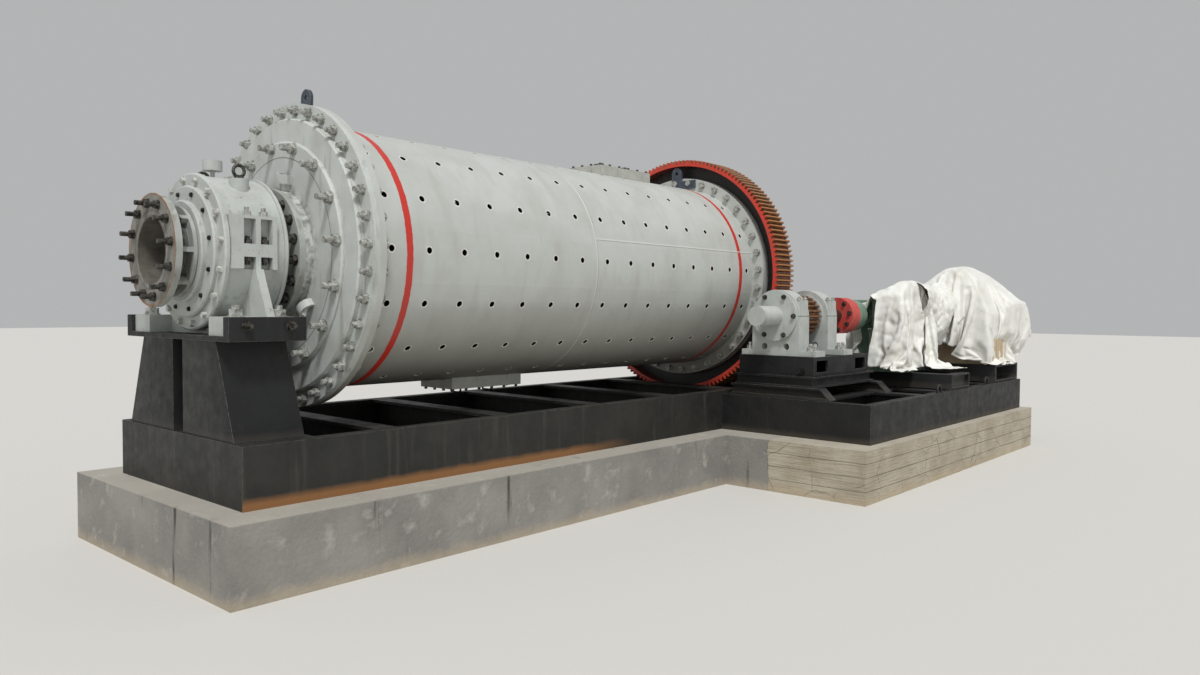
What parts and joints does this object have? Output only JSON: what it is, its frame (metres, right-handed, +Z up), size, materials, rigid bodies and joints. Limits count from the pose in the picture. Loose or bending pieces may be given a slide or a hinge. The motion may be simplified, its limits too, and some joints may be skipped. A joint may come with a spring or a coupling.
{
  "type": "ball mill",
  "caption": "Horizontal grinding drum in two trunnion bearings, turned by a girth gear and pinion, on steel frames and an L-shaped concrete plinth.",
  "frame": {"origin": "on the ground under the middle of the drum's shell", "axes": "+X along the drum towards the girth gear, +Y away from the drive, +Z up"},
  "size_m": [9.283, 3.738, 3.204],
  "materials": {
    "concrete": "rendered and board-marked",
    "black_steel": "satin, dusty",
    "white_tarpaulin": "woven sheet",
    "red_gear": "satin",
    "green_coupling": "satin",
    "oily_teeth": "oily",
    "shaft_steel": "turned",
    "beige_paint": "satin, dusty",
    "blue_grey_steel": "satin",
    "grey_paint": "satin"
  },
  "bodies": {
    "stand": {"main_plinth": "concrete", "drive_plinth": "concrete", "main_base_frame": "black_steel", "drive_base_frame": "black_steel", "feed_pedestal": "black_steel", "discharge_pedestal": "black_steel", "feed_bearing_base": "grey_paint", "feed_bearing_cap": "grey_paint", "discharge_bearing_base": "grey_paint", "discharge_bearing_cap": "grey_paint", "feed_outer_cover": "grey_paint", "feed_inner_cover": "grey_paint", "discharge_outer_cover": "grey_paint", "discharge_inner_cover": "grey_paint", "reducer_coupling_half": "green_coupling", "near_pinion_bearing": "grey_paint", "far_pinion_bearing": "grey_paint", "pinion_sub_base": "black_steel", "pinion_riser": "black_steel", "reducer": "green_coupling", "motor": "beige_paint", "reducer_sub_frame": "black_steel", "motor_sub_frame": "black_steel", "reducer_tarpaulin": "white_tarpaulin", "motor_tarpaulin": "white_tarpaulin"},
    "drum": {"shell_strip": "grey_paint", "shell_plate_1": "grey_paint", "shell_plate_2": "grey_paint", "shell_plate_3": "grey_paint", "shell_plate_4": "grey_paint", "shell_plate_5": "grey_paint", "feed_shell_flange": "grey_paint", "discharge_shell_flange": "grey_paint", "feed_head": "grey_paint", "discharge_head": "grey_paint", "feed_trunnion": "grey_paint", "discharge_trunnion": "grey_paint", "feed_lifting_plate": "blue_grey_steel", "discharge_lifting_plate": "blue_grey_steel", "girth_gear": "red_gear", "top_manhole": "grey_paint", "bottom_manhole": "grey_paint"},
    "pinion_line": {"pinion_shaft": "shaft_steel", "pinion": "oily_teeth", "pinion_coupling_half": "red_gear"}
  },
  "joints": [
    {"name": "drum_spin", "type": "hinge", "parent": "stand", "child": "drum", "pos_m": [0, 0, 1.972], "axis": [1, 0, 0], "continuous": true},
    {"name": "pinion_spin", "type": "hinge", "parent": "stand", "child": "pinion_line", "pos_m": [2.333, -1.33984, 1.566], "axis": [1, 0, 0], "continuous": true}
  ],
  "couplings": [
    {"joint": "pinion_spin", "follows": "drum_spin", "ratio": -6.6087}
  ]
}
